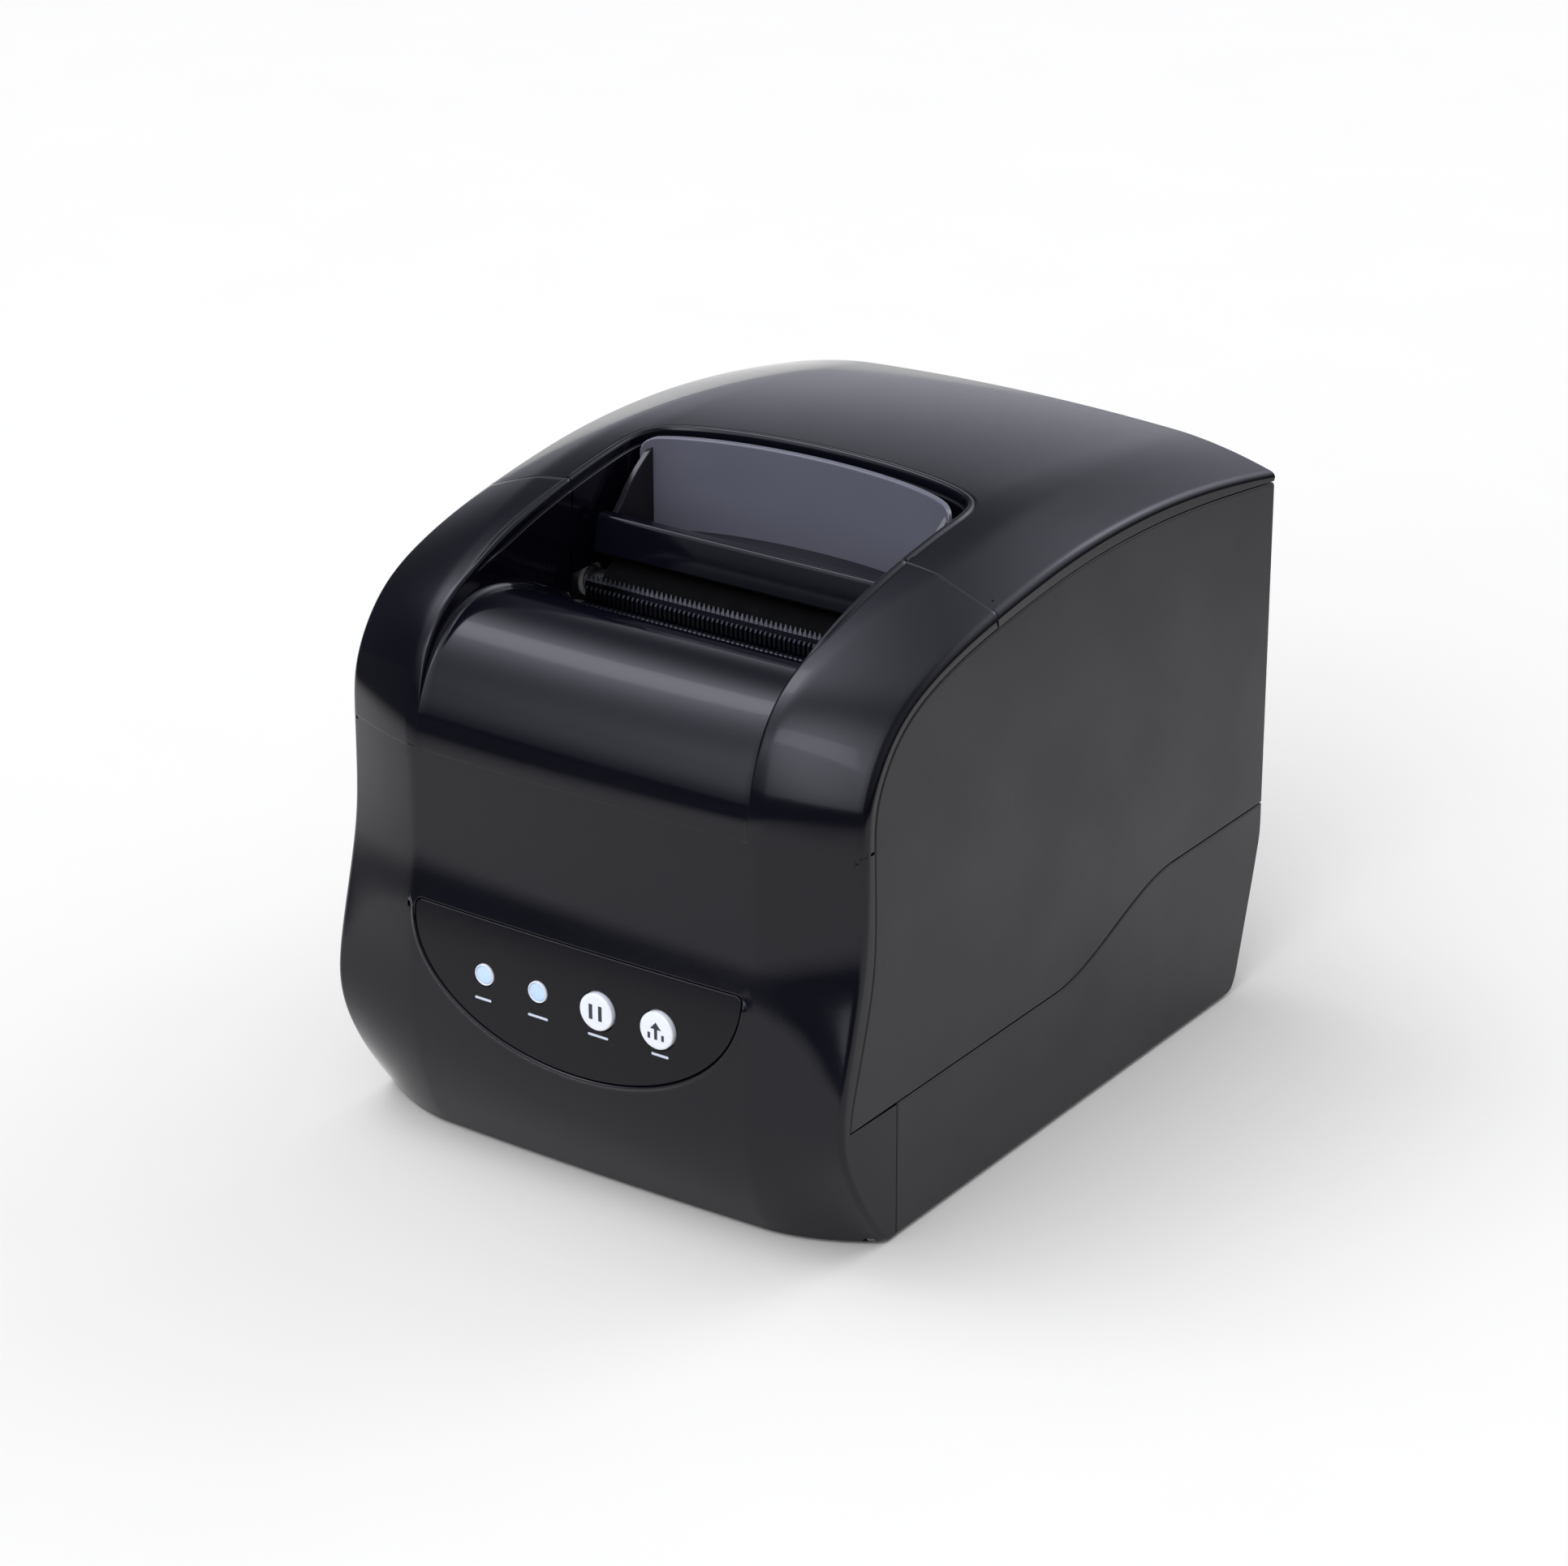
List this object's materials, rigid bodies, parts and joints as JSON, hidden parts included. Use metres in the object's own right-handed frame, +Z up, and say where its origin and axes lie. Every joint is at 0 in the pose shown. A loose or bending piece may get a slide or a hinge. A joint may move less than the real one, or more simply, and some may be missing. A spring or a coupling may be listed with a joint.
{
  "type": "thermal label printer",
  "caption": "Desktop clamshell thermal label printer with a glossy wrap-over front and lid, recessed tear-off slot, smoked window and status panel.",
  "frame": {"origin": "middle of the printer's outline on the surface that it stands on", "axes": "+X to the viewer's right when facing the printer's front, +Y towards its back, +Z up"},
  "size_m": [0.147, 0.1948, 0.1546],
  "materials": {
    "gloss_shell": "piano-black high gloss moulded ABS with a faint blue cast",
    "satin_shell": "satin dark grey moulded ABS",
    "panel_overlay": "smooth semi-gloss black overlay",
    "smoked_window": "smoked translucent acrylic",
    "lamp_lens": "frosted pale blue-white lens",
    "key_cap": "smooth white moulded cap",
    "inner_plastic": "black fine-textured ABS",
    "tear_steel": "black-oxide serrated steel",
    "steel": "zinc-plated sheet steel and bright pins",
    "motor_can": "black painted steel can",
    "aluminium": "plain cast aluminium",
    "ceramic": "glazed alumina substrate",
    "brass": "machined brass",
    "nylon": "natural nylon",
    "rubber": "ground black rubber",
    "circuit_board": "green solder mask with parts"
  },
  "bodies": {
    "case": {"lower_base": "satin_shell", "side_panel_left": "satin_shell", "side_panel_right": "satin_shell", "rear_cover": "satin_shell", "front_cover_lower": "gloss_shell", "front_cover_upper": "gloss_shell", "control_panel": "panel_overlay", "online_lamp": "lamp_lens", "error_lamp": "lamp_lens", "key_board": "circuit_board", "tear_bar": "tear_steel", "paper_bin": "inner_plastic", "chassis_plate_left": "steel", "chassis_plate_right": "steel", "head_bracket": "steel", "head_spring_left": "steel", "head_spring_right": "steel", "gap_sensor": "inner_plastic", "stepper_motor": "motor_can", "idler_axle": "steel", "guide_pinion_post": "steel", "hinge_pin_left": "steel", "hinge_pin_right": "steel", "foot_1": "rubber", "foot_2": "rubber", "foot_3": "rubber", "foot_4": "rubber", "base_screw_1": "steel", "base_screw_2": "steel", "base_screw_3": "steel", "base_screw_4": "steel", "power_inlet": "inner_plastic", "cash_drawer_port": "inner_plastic", "usb_port": "steel", "power_switch_housing": "inner_plastic", "connector_plate": "steel", "main_board": "circuit_board"},
    "lid": {"top_lid": "gloss_shell", "lid_window": "smoked_window", "lid_cross_bar": "gloss_shell", "lid_frame": "inner_plastic", "platen_bearing_left": "nylon", "platen_bearing_right": "nylon"},
    "platen": {"platen_roller": "rubber", "platen_shaft": "steel", "platen_gear": "nylon"},
    "idler": {"idler_gear": "nylon"},
    "motor_rotor": {"motor_pinion": "brass"},
    "head": {"print_head": "ceramic", "head_heatsink": "aluminium"},
    "pause_key": {"pause_button": "key_cap"},
    "feed_key": {"feed_button": "key_cap"},
    "rocker": {"power_switch_rocker": "inner_plastic"},
    "guide_left": {"paper_guide_left": "inner_plastic"},
    "guide_right": {"paper_guide_right": "inner_plastic"},
    "guide_gear": {"guide_pinion": "nylon"}
  },
  "joints": [
    {"name": "lid_hinge", "type": "hinge", "parent": "case", "child": "lid", "pos_m": [0, 0.0952, 0.1369], "axis": [-1, 0, 0], "range_deg": [0, 95]},
    {"name": "platen_spin", "type": "hinge", "parent": "lid", "child": "platen", "pos_m": [0, -0.0202, 0.1205], "axis": [1, 0, 0], "continuous": true},
    {"name": "idler_spin", "type": "hinge", "parent": "case", "child": "idler", "pos_m": [-0.059, -0.01714, 0.099], "axis": [1, 0, 0], "continuous": true},
    {"name": "motor_spin", "type": "hinge", "parent": "case", "child": "motor_rotor", "pos_m": [-0.059, -0.0322, 0.08966], "axis": [1, 0, 0], "continuous": true},
    {"name": "head_pivot", "type": "hinge", "parent": "case", "child": "head", "pos_m": [0, -0.02429, 0.10659], "axis": [1, 0, 0], "range_deg": [0, 2], "stiffness_Nm_per_rad": 0.5, "springref_deg": -34.38},
    {"name": "pause_press", "type": "slide", "parent": "case", "child": "pause_key", "axis": [0, 1, 0], "range_m": [0, 0.0007], "stiffness_N_per_m": 500, "springref_m": -0.0005},
    {"name": "feed_press", "type": "slide", "parent": "case", "child": "feed_key", "axis": [0, 1, 0], "range_m": [0, 0.0007], "stiffness_N_per_m": 500, "springref_m": -0.0005},
    {"name": "power_rock", "type": "hinge", "parent": "case", "child": "rocker", "pos_m": [0.0375, 0.0808, 0.023], "axis": [1, 0, 0], "range_deg": [0, 18]},
    {"name": "guide_left_slide", "type": "slide", "parent": "case", "child": "guide_left", "axis": [1, 0, 0], "range_m": [0, 0.029]},
    {"name": "guide_right_slide", "type": "slide", "parent": "case", "child": "guide_right", "axis": [-1, 0, 0], "range_m": [0, 0.029]},
    {"name": "guide_gear_spin", "type": "hinge", "parent": "case", "child": "guide_gear", "pos_m": [0, 0.0358, 0.032], "axis": [0, 0, 1], "range_deg": [0, 208]}
  ],
  "couplings": [
    {"joint": "idler_spin", "follows": "platen_spin", "ratio": -0.6875},
    {"joint": "motor_spin", "follows": "platen_spin", "ratio": 1.8333},
    {"joint": "guide_right_slide", "follows": "guide_left_slide", "ratio": 1},
    {"joint": "guide_gear_spin", "follows": "guide_left_slide", "rad_per_m": 125}
  ]
}
